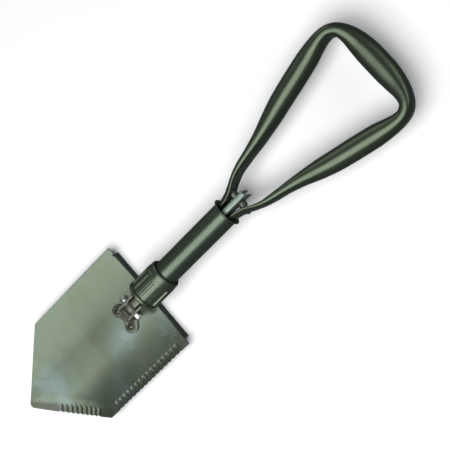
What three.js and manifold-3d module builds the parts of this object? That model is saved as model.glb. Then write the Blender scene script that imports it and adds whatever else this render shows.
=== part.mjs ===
// Tri-fold camp shovel: a dished pointed blade hinged on a socket, a ribbed locking nut,
// a sliding tube over a tie rod, and a D handle that folds back on a link.
// Millimetres, +Z up. The tool lies on its back: +Y runs from the blade to the grip,
// +Z out of the blade's front face. The origin is on the ground under the tool's middle.
import * as THREE from 'three';
import { mergeVertices } from 'three/addons/utils/BufferGeometryUtils.js';
import Module from 'manifold-3d';

// ---------------------------------------------------------------- driving dimensions
// All places below are measured from the blade hinge's axis (y = 0, z = 0 there).
const TIP_Y = -194;            // point of the blade
const GRIP_Y = 406;            // far edge of the D handle
const GROUND_Z = -31.6;        // lower edge of the tread flange
const GAP = 0.3;               // gap between pieces that touch

const BLADE_HALF = 73;         // half width of the blade
const BLADE_REAR_Y = 17.7;     // tread edge
const SHOULDER_Y = -120;       // where the sides turn in to the point
const FACE_Z = -21.3;          // front face of the blade at the hinge bracket
const SHEET = 2;               // blade thickness
const TIP_LIFT = 5.8;          // how far the point curls up
const NOSE = 6;                // rounding of the point
const NOSE_JOIN = 0.265;       // where the rounding meets the point's edges, in nose radii
const NOSE_REACH = 0.36;       // how far past the point those edges would meet, in nose radii
const EDGE_BOW = 3.2;          // how far the point's edges bulge
const TIP_LEAN = 4.5;          // how far the point is ground off centre, away from the flutes
const SIDE_LIFT = 4.2;         // how far the sides curl up
const SEAT_HALF = 18;          // flat strip down the middle of the blade
const DISH = 1.6;              // extra depth in the middle of the blade
const FLANGE_HALF = 64;        // half length of the tread flange
const FLANGE_BEND = 2.6;       // outer radius of the bend at the tread edge
const FLUTE_COUNT_SIDE = 16;
const FLUTE_PITCH_SIDE = 7;
const FLUTE_START_SIDE = -102.5;
const FLUTE_COUNT_POINT = 9;
const FLUTE_PITCH_POINT = 6.4;
const FLUTE_START_POINT = 19;  // from the shoulder along the point edge
const FLUTE_RADIUS = 2.6;
const FLUTE_DEPTH = 1.4;

const CHEEK_IN = 6.6;          // inner face of the yoke's cheeks
const CHEEK_OUT = 9.4;
const YOKE_PLATE = 2.5;
const YOKE_REAR_Y = 18.9;
const YOKE_TOP_Z = 6.5;
const YOKE_CORNER = 1.5;
const YOKE_FRONT_Y = -13.5;    // end of the cheeks towards the blade
const SCOOP_GAP = 0.5;         // between the folded yoke and the folded grip
const LOBE_X = 11.9;           // blade rivets
const LOBE_Y = -24.8;
const LOBE_RADIUS = 8;
const RIVET_RADIUS = 3;
const RIVET_HEAD = 4.9;
const PIN_RADIUS = 4;
const PIN_HEAD_RADIUS = 5.2;
const PIN_END_X = 15.5;
const RUNNING = 0.3;           // radial clearance on pins

const TONGUE_HALF = 4.4;
const TONGUE_EYE = 8.5;
const TONGUE_HALF_HEIGHT = 6.2;
const ROD_RADIUS = 5;
const STUD_END_Y = 30;

const SOCKET_Y0 = 20;
const SOCKET_Y1 = 56;
const SOCKET_FLOOR = 4;
const THREAD_RADIUS = 16.7;
const THREAD_DEPTH = 0.55;
const THREAD_PITCH = 4;         // the nut climbs this far in one turn

const TUBE_RADIUS = 15;
const TUBE_WALL = 1.6;
const TUBE_Y0 = 47;
const LIP_Y = 163;             // rim of the tube's bell mouth
const LIP_RADIUS = 17.8;
const LIP_HEIGHT = 2.4;
const MOUTH_RADIUS = 15.8;

const NUT_Y0 = 19.5;
const NUT_Y1 = 61;
const NUT_BORE = 17.1;
const NUT_RADIUS = 19.6;
const COLLAR_RADIUS = 19;
const THRUST_RADIUS = 20;
const THRUST_HEIGHT = 4.6;
const RIB_COUNT = 12;
const SLOT_WIDTH = 3;
const SLOT_DEPTH = 1.3;
const SLOT_TOP_Y = 51;
const SLOT_OFFSET = 0.13;      // first slot's place, as a share of the pitch

const LINK_HALF = 3.6;
const LINK_DEPTH = 10.5;
const LINK_WALL = 1.6;
const LINK_Y0 = 128;
const LINK_Y1 = 193;
const LINK_RIVET_Y = 141;
const HANDLE_PIVOT_Y = 181.5;
const HANDLE_PIN_RADIUS = 3.2;
const GRIP_WALL = 1.1;

// ---------------------------------------------------------------- finishes
const paint = (color, roughness) =>
  new THREE.MeshStandardMaterial({ color, roughness, metalness: 0.25 });
const OLIVE = paint(0x6d7a66, 0.5);
const OLIVE_LIGHT = paint(0x8b978a, 0.45);
const OLIVE_BROWN = paint(0x77796a, 0.55);
const BARE_STEEL = new THREE.MeshStandardMaterial({ color: 0xb9bcb8, roughness: 0.3, metalness: 1 });
const DARK_STEEL = new THREE.MeshStandardMaterial({ color: 0x565a55, roughness: 0.5, metalness: 0.9 });
const BLACK_RUBBER = new THREE.MeshStandardMaterial({ color: 0x15181a, roughness: 0.7, metalness: 0 });
const BUSH_PLASTIC = new THREE.MeshStandardMaterial({ color: 0x2a2d2a, roughness: 0.6, metalness: 0 });

// ---------------------------------------------------------------- solids and cuts
const wasm = await Module();
wasm.setup();

const WELD = 0.01;             // corners closer than this are one corner

/** The triangles of an index whose three corners differ. */
function realTriangles(index) {
  const kept = [];
  for (let i = 0; i < index.length; i += 3) {
    const [a, b, c] = [index[i], index[i + 1], index[i + 2]];
    if (a !== b && b !== c && c !== a) kept.push(a, b, c);
  }
  return kept;
}

/** Turns a closed three.js geometry into a solid that can be cut and joined. */
function solidOf(geometry) {
  const bare = geometry.clone();
  bare.deleteAttribute('normal');
  bare.deleteAttribute('uv');
  const merged = mergeVertices(bare, 1e-4);
  return new wasm.Manifold(new wasm.Mesh({
    numProp: 3,
    vertProperties: new Float32Array(merged.attributes.position.array),
    triVerts: new Uint32Array(realTriangles(merged.index.array)),
  }));
}

/** Turns a solid back into a three.js geometry, without its slivers. */
function geometryOf(solid) {
  const mesh = solid.getMesh();
  const raw = new THREE.BufferGeometry();
  raw.setAttribute('position', new THREE.BufferAttribute(new Float32Array(mesh.vertProperties), 3));
  raw.setIndex(new THREE.BufferAttribute(new Uint32Array(mesh.triVerts), 1));
  const geometry = mergeVertices(raw, WELD);
  geometry.setIndex(realTriangles(geometry.index.array));
  geometry.computeVertexNormals();
  return geometry;
}

/** Joins the first geometry with others, then cuts the rest away. */
function carve(base, joins, cuts) {
  let solid = solidOf(base);
  for (const piece of joins) solid = solid.add(solidOf(piece));
  for (const piece of cuts) solid = solid.subtract(solidOf(piece));
  return geometryOf(solid);
}

/** A solid turned about the tool's axis from [radius, y] points that run up the outside. */
function turned(points, segments = 40) {
  return new THREE.LatheGeometry(points.map(([r, y]) => new THREE.Vector2(r, y)), segments);
}

/** A plain ring about the tool's axis with small chamfers on its outer edges. */
function ring(inner, outer, y0, y1, chamfer = 0, segments = 40) {
  const points = [[inner, y0], [outer - chamfer, y0]];
  if (chamfer > 0) points.push([outer, y0 + chamfer], [outer, y1 - chamfer]);
  points.push([outer - chamfer, y1], [inner, y1], [inner, y0]);
  return turned(points, segments);
}

/** A round bar along X between two places. */
function crossBar(radius, x0, x1, y, z, segments = 28) {
  const bar = new THREE.CylinderGeometry(radius, radius, x1 - x0, segments);
  bar.rotateZ(-Math.PI / 2);
  return bar.translate((x0 + x1) / 2, y, z);
}

/** A round bar along Z between two heights. */
function postBar(radius, x, y, z0, z1, segments = 24) {
  const bar = new THREE.CylinderGeometry(radius, radius, z1 - z0, segments);
  bar.rotateX(Math.PI / 2);
  return bar.translate(x, y, (z0 + z1) / 2);
}

/** A box between two corners. */
function block([x0, y0, z0], [x1, y1, z1]) {
  const box = new THREE.BoxGeometry(x1 - x0, y1 - y0, z1 - z0);
  return box.translate((x0 + x1) / 2, (y0 + y1) / 2, (z0 + z1) / 2);
}

/** A flat outline in (y, z), given a thickness along X. */
function sidePlate(shape, x0, x1, curveSegments = 8) {
  const plate = new THREE.ExtrudeGeometry(shape, { depth: x1 - x0, bevelEnabled: false, curveSegments });
  const turn = new THREE.Matrix4().makeBasis(
    new THREE.Vector3(0, 1, 0), new THREE.Vector3(0, 0, 1), new THREE.Vector3(1, 0, 0));
  return plate.applyMatrix4(turn).translate(x0, 0, 0);
}

/** A flat outline in (x, y), given a thickness along Z. */
function flatPlate(shape, z0, z1, curveSegments = 8) {
  const plate = new THREE.ExtrudeGeometry(shape, { depth: z1 - z0, bevelEnabled: false, curveSegments });
  return plate.translate(0, 0, z0);
}

/** The same indexed piece on the other side of the tool. */
function mirrored(geometry) {
  const copy = geometry.clone().scale(-1, 1, 1);
  const order = Array.from(copy.index.array);
  for (let i = 0; i < order.length; i += 3) [order[i], order[i + 1]] = [order[i + 1], order[i]];
  copy.setIndex(order);
  return copy;
}

/** A closed body between two grids of points, rows[i][j] in front and behind. */
function plateBetween(front, back) {
  const rows = front.length;
  const columns = front[0].length;
  const positions = [...front.flat(), ...back.flat()].flat();
  const at = (side, i, j) => side * rows * columns + i * columns + j;
  const index = [];
  const quad = (a, b, c, d) => index.push(a, b, c, a, c, d);
  for (let i = 0; i + 1 < rows; i += 1) {
    for (let j = 0; j + 1 < columns; j += 1) {
      quad(at(0, i, j), at(0, i, j + 1), at(0, i + 1, j + 1), at(0, i + 1, j));
      quad(at(1, i, j), at(1, i + 1, j), at(1, i + 1, j + 1), at(1, i, j + 1));
    }
    quad(at(0, i, 0), at(0, i + 1, 0), at(1, i + 1, 0), at(1, i, 0));
    quad(at(0, i + 1, columns - 1), at(0, i, columns - 1), at(1, i, columns - 1), at(1, i + 1, columns - 1));
  }
  for (let j = 0; j + 1 < columns; j += 1) {
    quad(at(0, 0, j + 1), at(0, 0, j), at(1, 0, j), at(1, 0, j + 1));
    quad(at(0, rows - 1, j), at(0, rows - 1, j + 1), at(1, rows - 1, j + 1), at(1, rows - 1, j));
  }
  const geometry = new THREE.BufferGeometry();
  geometry.setAttribute('position', new THREE.Float32BufferAttribute(positions, 3));
  geometry.setIndex(index);
  return geometry;
}

// ---------------------------------------------------------------- blade
/** Height of the blade's front face: flat at the bracket, dished, curled up at sides and point. */
function faceHeight(x, y) {
  const side = Math.max(0, (Math.abs(x) - SEAT_HALF) / (BLADE_HALF - SEAT_HALF));
  const alongDish = THREE.MathUtils.clamp((y + 45) / -35, 0, 1) * THREE.MathUtils.clamp((y + 165) / 45, 0, 1);
  const tip = Math.max(0, (-150 - y) / (-150 - TIP_Y));
  return FACE_Z + SIDE_LIFT * side ** 1.8 - DISH * alongDish * (1 - side ** 2) + TIP_LIFT * tip ** 1.6;
}

/** Half width of the blade at a place along it. */
function bladeHalf(y) {
  if (y >= SHOULDER_Y) return BLADE_HALF;
  if (y < TIP_Y + NOSE * NOSE_JOIN) return Math.sqrt(Math.max(0, NOSE ** 2 - (TIP_Y + NOSE - y) ** 2));
  const along = (SHOULDER_Y - y) / (SHOULDER_Y - TIP_Y + NOSE * NOSE_REACH);
  return BLADE_HALF * (1 - along) + EDGE_BOW * Math.sin(Math.PI * along);
}

/** How far the blade's middle line has moved across at a place along it. */
const bladeLean = (y) => TIP_LEAN * Math.max(0, (SHOULDER_Y - y) / (SHOULDER_Y - TIP_Y));

function makeBlade() {
  const bendY = BLADE_REAR_Y - FLANGE_BEND;
  const stations = [TIP_Y, TIP_Y + 0.75, TIP_Y + NOSE * NOSE_JOIN, TIP_Y + 3.4, TIP_Y + 6];
  for (let y = TIP_Y + 11; y < SHOULDER_Y - 4; y += 7.5) stations.push(y);
  for (let y = SHOULDER_Y; y < bendY - 4; y += 11) stations.push(y);
  stations.push(bendY);
  const flangeEdge = FLANGE_HALF / BLADE_HALF;
  const half = [1, flangeEdge, 0.7, 0.54, 0.4, 0.27, 0.13];
  const columns = [...half.map((u) => -u), 0, ...half.reverse()];
  const row = (y, across, drop) => across.map((u) => {
    const x = Math.max(bladeHalf(y), 2.4) * u - bladeLean(y);
    return [x, y, faceHeight(x, y) - drop];
  });
  const plate = plateBetween(stations.map((y) => row(y, columns, 0)), stations.map((y) => row(y, columns, SHEET)));

  // The tread flange: between its ends the rear edge is bent back through a right angle.
  const across = columns.slice(1, -1);
  const start = row(bendY, across, 0);
  const bendSteps = 4;
  const outer = [];
  const behind = [];
  for (let k = 0; k <= bendSteps; k += 1) {
    const turn = (k / bendSteps) * Math.PI / 2;
    const [out, down] = [FLANGE_BEND * Math.sin(turn), FLANGE_BEND * (1 - Math.cos(turn))];
    outer.push(start.map(([x, y, z]) => [x, y + out, z - down]));
    behind.push(start.map(([x, y, z]) =>
      [x, y + out - SHEET * Math.sin(turn), z - down - SHEET * Math.cos(turn)]));
  }
  outer.push(start.map(([x]) => [x, BLADE_REAR_Y, GROUND_Z]));
  behind.push(start.map(([x]) => [x, BLADE_REAR_Y - SHEET, GROUND_Z]));
  const joins = [plateBetween(outer, behind)];
  for (const ends of [columns.slice(0, 2), columns.slice(-2)]) {
    const rows = [bendY, BLADE_REAR_Y];
    joins.push(plateBetween(rows.map((y) => row(y, ends, 0)), rows.map((y) => row(y, ends, SHEET))));
  }
  const cuts = [];
  for (let k = 0; k < FLUTE_COUNT_SIDE; k += 1) {
    const y = FLUTE_START_SIDE + k * FLUTE_PITCH_SIDE;
    cuts.push(postBar(FLUTE_RADIUS, BLADE_HALF + FLUTE_RADIUS - FLUTE_DEPTH, y, FACE_Z - 6, FACE_Z + 10, 10));
  }
  const edge = new THREE.Vector2(0, TIP_Y).sub(new THREE.Vector2(BLADE_HALF, SHOULDER_Y));
  const edgeLength = edge.length();
  edge.normalize();
  for (let k = 0; k < FLUTE_COUNT_POINT; k += 1) {
    const along = FLUTE_START_POINT + k * FLUTE_PITCH_POINT;
    const y = SHOULDER_Y + edge.y * along;
    const out = FLUTE_RADIUS - FLUTE_DEPTH * edgeLength / (SHOULDER_Y - TIP_Y) * 0.7;
    const x = bladeHalf(y) - bladeLean(y);
    cuts.push(postBar(FLUTE_RADIUS, x + out * -edge.y, y + out * edge.x, FACE_Z - 6, FACE_Z + 12, 10));
  }
  for (const side of [-1, 1]) {
    cuts.push(postBar(RIVET_RADIUS + GAP, side * LOBE_X, LOBE_Y, FACE_Z - 6, FACE_Z + 4, 20));
  }
  return carve(plate, joins, cuts);
}

// ---------------------------------------------------------------- yoke, tongue and pins
function makeYoke() {
  const z0 = FACE_Z + GAP;
  const plan = new THREE.Shape();
  const top = LOBE_Y + 4;
  plan.moveTo(-CHEEK_OUT, YOKE_REAR_Y);
  plan.lineTo(-CHEEK_OUT, top + 9);
  plan.absarc(-LOBE_X, LOBE_Y, LOBE_RADIUS, Math.PI * 0.795, Math.PI * 1.72, false);
  plan.quadraticCurveTo(0, LOBE_Y - 0.5, LOBE_X + LOBE_RADIUS * Math.cos(Math.PI * 1.28),
    LOBE_Y + LOBE_RADIUS * Math.sin(Math.PI * 1.28));
  plan.absarc(LOBE_X, LOBE_Y, LOBE_RADIUS, Math.PI * 1.28, Math.PI * 2.205, false);
  plan.lineTo(CHEEK_OUT, top + 9);
  plan.lineTo(CHEEK_OUT, YOKE_REAR_Y);
  plan.closePath();
  const base = flatPlate(plan, z0, z0 + YOKE_PLATE, 8);

  const side = new THREE.Shape();
  // With blade and handle folded, the grip lies behind the cheeks, which are scooped out round it.
  const gripY = GRIP_MIDDLE[1] - 2 * HANDLE_PIVOT_Y;
  const scoop = GRIP_MIDDLE[2] + SCOOP_GAP;
  const low = Math.sqrt(scoop ** 2 - (gripY - YOKE_REAR_Y) ** 2);
  side.moveTo(YOKE_REAR_Y, z0 + 1);
  side.lineTo(YOKE_REAR_Y, -low);
  side.absarc(gripY, 0, scoop, Math.atan2(-low, YOKE_REAR_Y - gripY), -Math.PI, true);
  side.lineTo(gripY - scoop, YOKE_TOP_Z - YOKE_CORNER);
  side.lineTo(gripY - scoop - YOKE_CORNER, YOKE_TOP_Z);
  side.lineTo(YOKE_FRONT_Y + 3, YOKE_TOP_Z);
  side.quadraticCurveTo(YOKE_FRONT_Y, YOKE_TOP_Z, YOKE_FRONT_Y, YOKE_TOP_Z - 3);
  side.lineTo(YOKE_FRONT_Y - 2, z0 + YOKE_PLATE + 1);
  side.lineTo(-17, z0 + 1);
  side.closePath();
  const cheek = sidePlate(side, CHEEK_IN, CHEEK_OUT, 6);
  const cuts = [crossBar(PIN_RADIUS + RUNNING, -CHEEK_OUT - 1, CHEEK_OUT + 1, 0, 0)];
  for (const s of [-1, 1]) cuts.push(postBar(RIVET_RADIUS + GAP, s * LOBE_X, LOBE_Y, z0 - 2, z0 + 5, 20));
  return carve(base, [cheek, sidePlate(side, -CHEEK_OUT, -CHEEK_IN, 6)], cuts);
}

function makeBladeRivet(side) {
  const seat = FACE_Z + GAP + YOKE_PLATE + GAP;
  const under = FACE_Z - SHEET - GAP;
  const r = RIVET_RADIUS;
  const profile = [[0, under - 1.8], [2.6, under - 1.6], [4.2, under], [r, under], [r, seat],
    [RIVET_HEAD, seat], [4.5, seat + 1.1], [3.1, seat + 2], [0, seat + 2.4]];
  return turned(profile, 24).rotateX(Math.PI / 2).translate(side * LOBE_X, LOBE_Y, 0);
}

function makeHingePin() {
  const half = PIN_END_X;
  const seat = CHEEK_OUT + GAP;
  const r = PIN_RADIUS;
  const h = PIN_HEAD_RADIUS;
  const profile = [[0, -half], [h - 1, -half], [h, -half + 1], [h, -seat], [r, -seat],
    [r, seat], [h, seat], [h, half - 1], [h - 1, half], [0, half]];
  return turned(profile, 28).rotateZ(-Math.PI / 2);
}

function makeHingeWasher(side) {
  const [x0, x1] = [TONGUE_HALF + GAP, CHEEK_IN - GAP];
  const washer = carve(crossBar(7.4, x0, x1, 0, 0), [], [crossBar(PIN_RADIUS + RUNNING, x0 - 1, x1 + 1, 0, 0)]);
  return side < 0 ? mirrored(washer) : washer;
}

function makeHingeTongue() {
  const end = SOCKET_Y0 - GAP;
  const eye = crossBar(TONGUE_EYE, -TONGUE_HALF, TONGUE_HALF, 0, 0, 32);
  const shank = block([-TONGUE_HALF, 0, -TONGUE_HALF_HEIGHT], [TONGUE_HALF, end, TONGUE_HALF_HEIGHT]);
  const stud = turned([[0, end - 3], [ROD_RADIUS, end - 3], [ROD_RADIUS, STUD_END_Y], [0, STUD_END_Y]], 28);
  return carve(eye, [shank, stud], [crossBar(PIN_RADIUS + RUNNING, -TONGUE_HALF - 1, TONGUE_HALF + 1, 0, 0)]);
}

// ---------------------------------------------------------------- socket, nut and tube
function makeThreadedSocket() {
  const bore = TUBE_RADIUS + 0.4;
  const hole = ROD_RADIUS + GAP;
  const root = THREAD_RADIUS - THREAD_DEPTH;
  const profile = [[hole, SOCKET_Y0], [root, SOCKET_Y0]];
  for (let y = SOCKET_Y0 + 2; y + THREAD_PITCH <= SOCKET_Y1; y += THREAD_PITCH) {
    profile.push([root, y], [THREAD_RADIUS, y + 1.2], [THREAD_RADIUS, y + 2.2], [root, y + 3.4]);
  }
  profile.push([root, SOCKET_Y1], [bore, SOCKET_Y1], [bore, SOCKET_Y0 + SOCKET_FLOOR],
    [hole, SOCKET_Y0 + SOCKET_FLOOR], [hole, SOCKET_Y0]);
  return turned(profile, 24);
}

function makeLockingNut() {
  const y0 = NUT_Y0 + THRUST_HEIGHT + GAP;
  const body = turned([[NUT_BORE, y0], [NUT_RADIUS - 0.6, y0], [NUT_RADIUS, y0 + 0.6], [NUT_RADIUS, SLOT_TOP_Y + 1.5],
    [COLLAR_RADIUS, SLOT_TOP_Y + 2.6], [COLLAR_RADIUS, NUT_Y1 - 1.6], [NUT_BORE + 0.9, NUT_Y1],
    [NUT_BORE, NUT_Y1], [NUT_BORE, y0]], 48);
  const slot = new THREE.Shape();
  const half = SLOT_WIDTH / 2;
  slot.moveTo(-half, y0 - 1);
  slot.lineTo(half, y0 - 1);
  slot.lineTo(half, SLOT_TOP_Y - half);
  slot.absarc(0, SLOT_TOP_Y - half, half, 0, Math.PI, false);
  slot.closePath();
  const cuts = Array.from({ length: RIB_COUNT }, (_, k) =>
    flatPlate(slot, NUT_RADIUS - SLOT_DEPTH, NUT_RADIUS + 2, 5)
      .rotateY(((k + SLOT_OFFSET) / RIB_COUNT) * Math.PI * 2));
  return carve(body, [], cuts);
}

const makeThrustRing = () => ring(NUT_BORE, THRUST_RADIUS, NUT_Y0, NUT_Y0 + THRUST_HEIGHT, 1.1, 48);

const makeNutSeal = () => ring(TUBE_RADIUS + GAP, NUT_BORE - GAP, NUT_Y1 - 4, NUT_Y1 - 0.4, 0, 40);

const makeHandleTube = () => ring(TUBE_RADIUS - TUBE_WALL, TUBE_RADIUS, TUBE_Y0, LIP_Y - LIP_HEIGHT - GAP, 0, 40);

const makeTubeBush = () =>
  ring(ROD_RADIUS + GAP, TUBE_RADIUS - TUBE_WALL - GAP, TUBE_Y0 + 0.5, TUBE_Y0 + 10.5, 0.4, 32);

function makeTubeFerrule() {
  const y0 = LIP_Y - LIP_HEIGHT;
  return turned([[13.9, y0], [LIP_RADIUS - 0.7, y0], [LIP_RADIUS, y0 + 0.7], [LIP_RADIUS, LIP_Y - 0.7],
    [LIP_RADIUS - 0.7, LIP_Y], [MOUTH_RADIUS, LIP_Y], [13.9, y0]], 48);
}

// ---------------------------------------------------------------- tie rod, link and handle pivot
function makeTieRod() {
  const round = turned([[0, STUD_END_Y + GAP], [ROD_RADIUS, STUD_END_Y + GAP], [ROD_RADIUS, LINK_Y0 - 1],
    [0, LINK_Y0 - 1]], 28);
  const half = LINK_HALF - LINK_WALL - GAP;
  const flat = block([-half, LINK_Y0 - 4, -4.5], [half, LINK_Y0 + 24, 4.5]);
  return carve(round, [flat], [crossBar(2.2 + GAP, -6, 6, LINK_RIVET_Y, 0, 20)]);
}

function makeLinkChannel() {
  const outside = block([-LINK_HALF, LINK_Y0, -LINK_DEPTH], [LINK_HALF, LINK_Y1, LINK_DEPTH]);
  const half = LINK_HALF - LINK_WALL;
  const inside = block([-half, LINK_Y0 - 1, -LINK_DEPTH - 1], [half, LINK_Y1 + 1, LINK_DEPTH - LINK_WALL]);
  return carve(outside, [], [inside, crossBar(2.2 + GAP, -6, 6, LINK_RIVET_Y, 0, 20),
    crossBar(HANDLE_PIN_RADIUS + GAP, -6, 6, HANDLE_PIVOT_Y, 0, 24)]);
}

function makeLinkRivet() {
  const seat = LINK_HALF + GAP;
  return turned([[0, -seat - 1], [3, -seat - 0.8], [3.6, -seat], [2.2, -seat], [2.2, seat], [3.6, seat],
    [3, seat + 0.8], [0, seat + 1]], 20).rotateZ(-Math.PI / 2).translate(0, LINK_RIVET_Y, 0);
}

const PIVOT_LEG_IN = 10;       // inner face of a leg beside its spacer
const PIVOT_PIN_END = 18.4;    // the pin's domed ends stand in the legs' holes

function makeHandlePin() {
  const r = HANDLE_PIN_RADIUS;
  const half = PIVOT_PIN_END;
  return turned([[0, -half - 0.8], [r - 1, -half - 0.5], [r, -half + 0.6], [r, half - 0.6], [r - 1, half + 0.5],
    [0, half + 0.8]], 24).rotateZ(-Math.PI / 2).translate(0, HANDLE_PIVOT_Y, 0);
}

function makePivotSpacer(side) {
  const [x0, x1] = [LINK_HALF + GAP, PIVOT_LEG_IN - GAP];
  const y = HANDLE_PIVOT_Y;
  const spacer = carve(crossBar(4.8, x0, x1, y, 0), [],
    [crossBar(HANDLE_PIN_RADIUS + GAP, x0 - 1, x1 + 1, y, 0, 24)]);
  return side < 0 ? mirrored(spacer) : spacer;
}

// ---------------------------------------------------------------- D handle
// Stations along the right half of the handle's tube, from the pivot end to the grip's middle:
// centre x and y, half thickness in the handle's plane, half depth, and how far the flattened
// end is hollowed towards the link.
const GRIP_STATIONS = [
  [11.6, 162, 1.5, 9.5, 4.2],
  [12.7, 172, 2.4, 11, 4],
  [15.2, 181, 2.9, 12, 3.6],
  [19.5, 191, 3.1, 13, 2.4],
  [23.1, 202, 3.8, 14, 1.2],
  [25.5, 214, 4.8, 14.5, 0.5],
  [27.8, 228, 5.6, 14.5, 0],
  [31.8, 247, 7.6, 14, 0],
  [38, 270, 10.6, 13, 0],
  [43.4, 290, 12, 12.5, 0],
  [48.8, 314, 12.4, 12.4, 0],
  [54.3, 339, 12.1, 12.4, 0],
  [58.4, 358, 9.8, 13.5, 0],
  [59.6, 368, 8.2, 14.5, 0],
  [58.6, 376.9, 7.3, 15, 0],
  [52.9, 385.1, 7.6, 14.9, 0],
  [42, 389.6, 9.9, 14, 0],
  [28, 391.3, 12.5, 13, 0],
  [13, 391.9, 13.9, 12.7, 0],
];
const GRIP_HALF = 14;          // half thickness of the grip in the handle's plane
const GRIP_MIDDLE = [0, GRIP_Y - GRIP_HALF, GRIP_HALF, 12.6, 0];
const GRIP_SECTION = 14;       // points round the tube
const GRIP_STEPS = 58;         // sections along it

function makeGripFrame() {
  const left = [...GRIP_STATIONS].reverse().map(([x, ...rest]) => [-x, ...rest]);
  const all = [...GRIP_STATIONS, GRIP_MIDDLE, ...left];
  const path = new THREE.CatmullRomCurve3(all.map(([x, y]) => new THREE.Vector3(x, y, 0)), false, 'centripetal');
  const sizes = new THREE.CatmullRomCurve3(all.map(([, , a, b, c]) => new THREE.Vector3(a, b, c)));
  const shells = [0, GRIP_WALL].map((inset) => {
    const loops = [];
    for (let i = 0; i <= GRIP_STEPS; i += 1) {
      const t = i / GRIP_STEPS;
      const centre = path.getPoint(t);
      const along = path.getTangent(t);
      const size = sizes.getPoint(t);
      const flat = THREE.MathUtils.clamp((size.y / size.x - 1) / 1.2, 0, 1);
      const power = 2 / (2 + 0.9 * flat);
      const loop = [];
      for (let k = 0; k < GRIP_SECTION; k += 1) {
        const angle = (k / GRIP_SECTION) * Math.PI * 2;
        const c = Math.cos(angle);
        const s = Math.sin(angle);
        const u = Math.sign(c) * Math.abs(c) ** power * (size.x - inset);
        const w = Math.sign(s) * Math.abs(s) ** power * (size.y - inset);
        const hollow = size.z * (w / size.y) ** 2;
        // The outward side of the loop is to the right of the direction of travel.
        loop.push([centre.x + along.y * (u - hollow), centre.y - along.x * (u - hollow), w]);
      }
      loops.push(loop);
    }
    return loops;
  });
  const count = GRIP_STEPS + 1;
  const at = (shell, i, k) => (shell * count + i) * GRIP_SECTION + (k % GRIP_SECTION);
  const index = [];
  for (let k = 0; k < GRIP_SECTION; k += 1) {
    for (let i = 0; i < GRIP_STEPS; i += 1) {
      const outer = [at(0, i, k), at(0, i, k + 1), at(0, i + 1, k + 1), at(0, i + 1, k)];
      const inner = [at(1, i, k), at(1, i + 1, k), at(1, i + 1, k + 1), at(1, i, k + 1)];
      for (const [a, b, c, d] of [outer, inner]) index.push(a, c, b, a, d, c);
    }
    const first = [at(0, 0, k), at(1, 0, k), at(1, 0, k + 1), at(0, 0, k + 1)];
    const last = [at(0, count - 1, k), at(0, count - 1, k + 1), at(1, count - 1, k + 1), at(1, count - 1, k)];
    for (const [a, b, c, d] of [first, last]) index.push(a, c, b, a, d, c);
  }
  const tube = new THREE.BufferGeometry();
  tube.setAttribute('position', new THREE.Float32BufferAttribute(shells.flat(3), 3));
  tube.setIndex(index);
  const hole = crossBar(HANDLE_PIN_RADIUS + GAP, -30, 30, HANDLE_PIVOT_Y, 0, 24);
  return carve(tube, [], [hole]);
}

// ---------------------------------------------------------------- assembly
const tool = new THREE.Group();
tool.position.set(0, -(TIP_Y + GRIP_Y) / 2, -GROUND_Z);

/** Adds one named piece to the tool. */
function add(name, geometry, material) {
  const mesh = new THREE.Mesh(geometry, material);
  mesh.name = name;
  tool.add(mesh);
}

add('blade', makeBlade(), OLIVE);
add('hinge_yoke', makeYoke(), OLIVE_BROWN);
add('hinge_pin', makeHingePin(), BARE_STEEL);
for (const [side, name] of [[-1, 'left'], [1, 'right']]) {
  add(`blade_rivet_${name}`, makeBladeRivet(side), DARK_STEEL);
  add(`hinge_washer_${name}`, makeHingeWasher(side), DARK_STEEL);
  add(`pivot_spacer_${name}`, makePivotSpacer(side), DARK_STEEL);
}
add('hinge_tongue', makeHingeTongue(), OLIVE_BROWN);
add('threaded_socket', makeThreadedSocket(), DARK_STEEL);
add('thrust_ring', makeThrustRing(), OLIVE);
add('locking_nut', makeLockingNut(), OLIVE);
add('nut_seal', makeNutSeal(), BLACK_RUBBER);
add('handle_tube', makeHandleTube(), OLIVE_LIGHT);
add('tube_ferrule', makeTubeFerrule(), OLIVE_LIGHT);
add('tube_bush', makeTubeBush(), BUSH_PLASTIC);
add('tie_rod', makeTieRod(), DARK_STEEL);
add('link_channel', makeLinkChannel(), OLIVE_LIGHT);
add('link_rivet', makeLinkRivet(), DARK_STEEL);
add('handle_pivot_pin', makeHandlePin(), DARK_STEEL);
add('grip_frame', makeGripFrame(), OLIVE);

const part = new THREE.Group();
part.add(tool);
export default part;
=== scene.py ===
"""Folding camp shovel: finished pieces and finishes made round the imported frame.

Pieces are modelled in millimetres from the blade hinge's axis: +Y runs up the handle, +Z is out
of the blade's face and +X is its fluted side. The bench moves each finished piece into the frame.
"""

import logging
import math
from collections.abc import Callable, Iterator
from contextlib import contextmanager
from dataclasses import dataclass
from enum import Enum
from typing import ClassVar

import bmesh
import bpy
from mathutils import Matrix, Vector

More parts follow.
